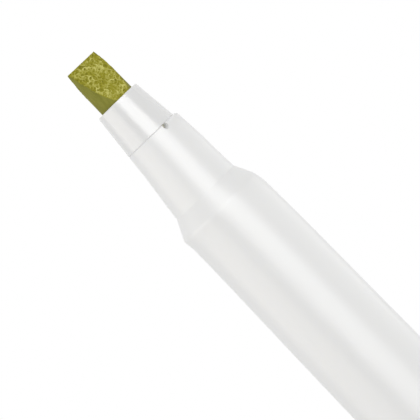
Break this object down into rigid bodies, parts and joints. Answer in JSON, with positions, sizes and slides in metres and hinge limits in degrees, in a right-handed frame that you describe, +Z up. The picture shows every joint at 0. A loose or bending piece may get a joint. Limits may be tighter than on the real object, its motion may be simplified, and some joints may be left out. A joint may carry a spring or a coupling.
{
  "type": "calligraphy pen",
  "caption": "Broad chisel-nib calligraphy pen with a fibre ink reservoir, a stepped tapering barrel, and a clip cap posted on its tail so that the pen stands nib up.",
  "frame": {"origin": "centre of the flat crown of the posted cap, which the pen stands on", "axes": "+Z up along the pen's axis to the nib; the nib's writing edge lies along X; the cap's clip is on +X; the vent notch is on -Y"},
  "size_m": [0.0156, 0.0136, 0.1502],
  "materials": {
    "white_plastic": "semi-gloss moulded polypropylene",
    "olive_plastic": "semi-gloss moulded polypropylene, coloured through",
    "inked_nib": "porous sintered fibre soaked with olive ink",
    "inked_fibre": "bundled fibre soaked with olive ink",
    "clear_film": "thin clear film sleeve",
    "natural_plastic": "soft natural polyethylene"
  },
  "bodies": {
    "pen": {"nib": "inked_nib", "nib_holder": "white_plastic", "barrel": "white_plastic", "reservoir_core": "inked_fibre", "reservoir_film": "clear_film", "breather_tube": "natural_plastic", "tail_plug": "olive_plastic"},
    "cap": {"cap_shell": "olive_plastic", "cap_liner": "natural_plastic"}
  },
  "joints": [
    {"name": "cap_slide", "type": "slide", "parent": "cap", "child": "pen", "axis": [0, 0, 1], "range_m": [0, 0.02]}
  ]
}
